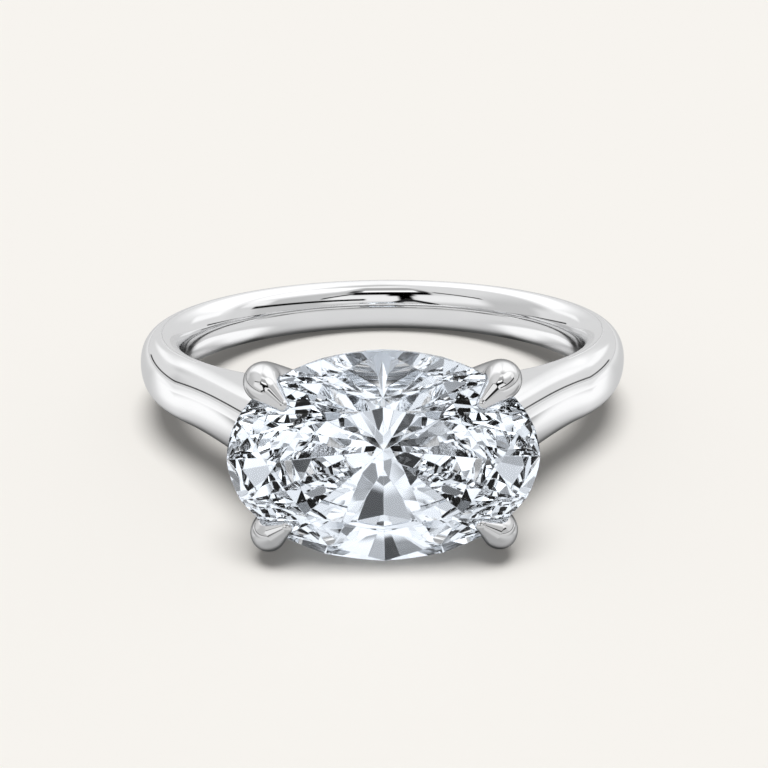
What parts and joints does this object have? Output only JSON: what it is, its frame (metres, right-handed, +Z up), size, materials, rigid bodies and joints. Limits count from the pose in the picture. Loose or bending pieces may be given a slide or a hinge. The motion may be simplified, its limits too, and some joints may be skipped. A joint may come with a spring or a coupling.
{
  "type": "east west ring",
  "caption": "Solitaire finger ring in polished white metal, with an oval faceted stone set lengthwise along the band between claws.",
  "frame": {"origin": "on the surface that the ring rests on, under the middle of its outline seen from above", "axes": "+Z up from that surface, +Y from the stone towards the back of the band, +X along the stone's long axis to its right as seen facing the table"},
  "size_m": [0.0206, 0.0248, 0.007],
  "materials": {
    "white_metal": "mirror polish",
    "clear_stone": "polished facets"
  },
  "bodies": {
    "root": {"ring_mount": "white_metal", "oval_stone": "clear_stone"}
  },
  "joints": []
}
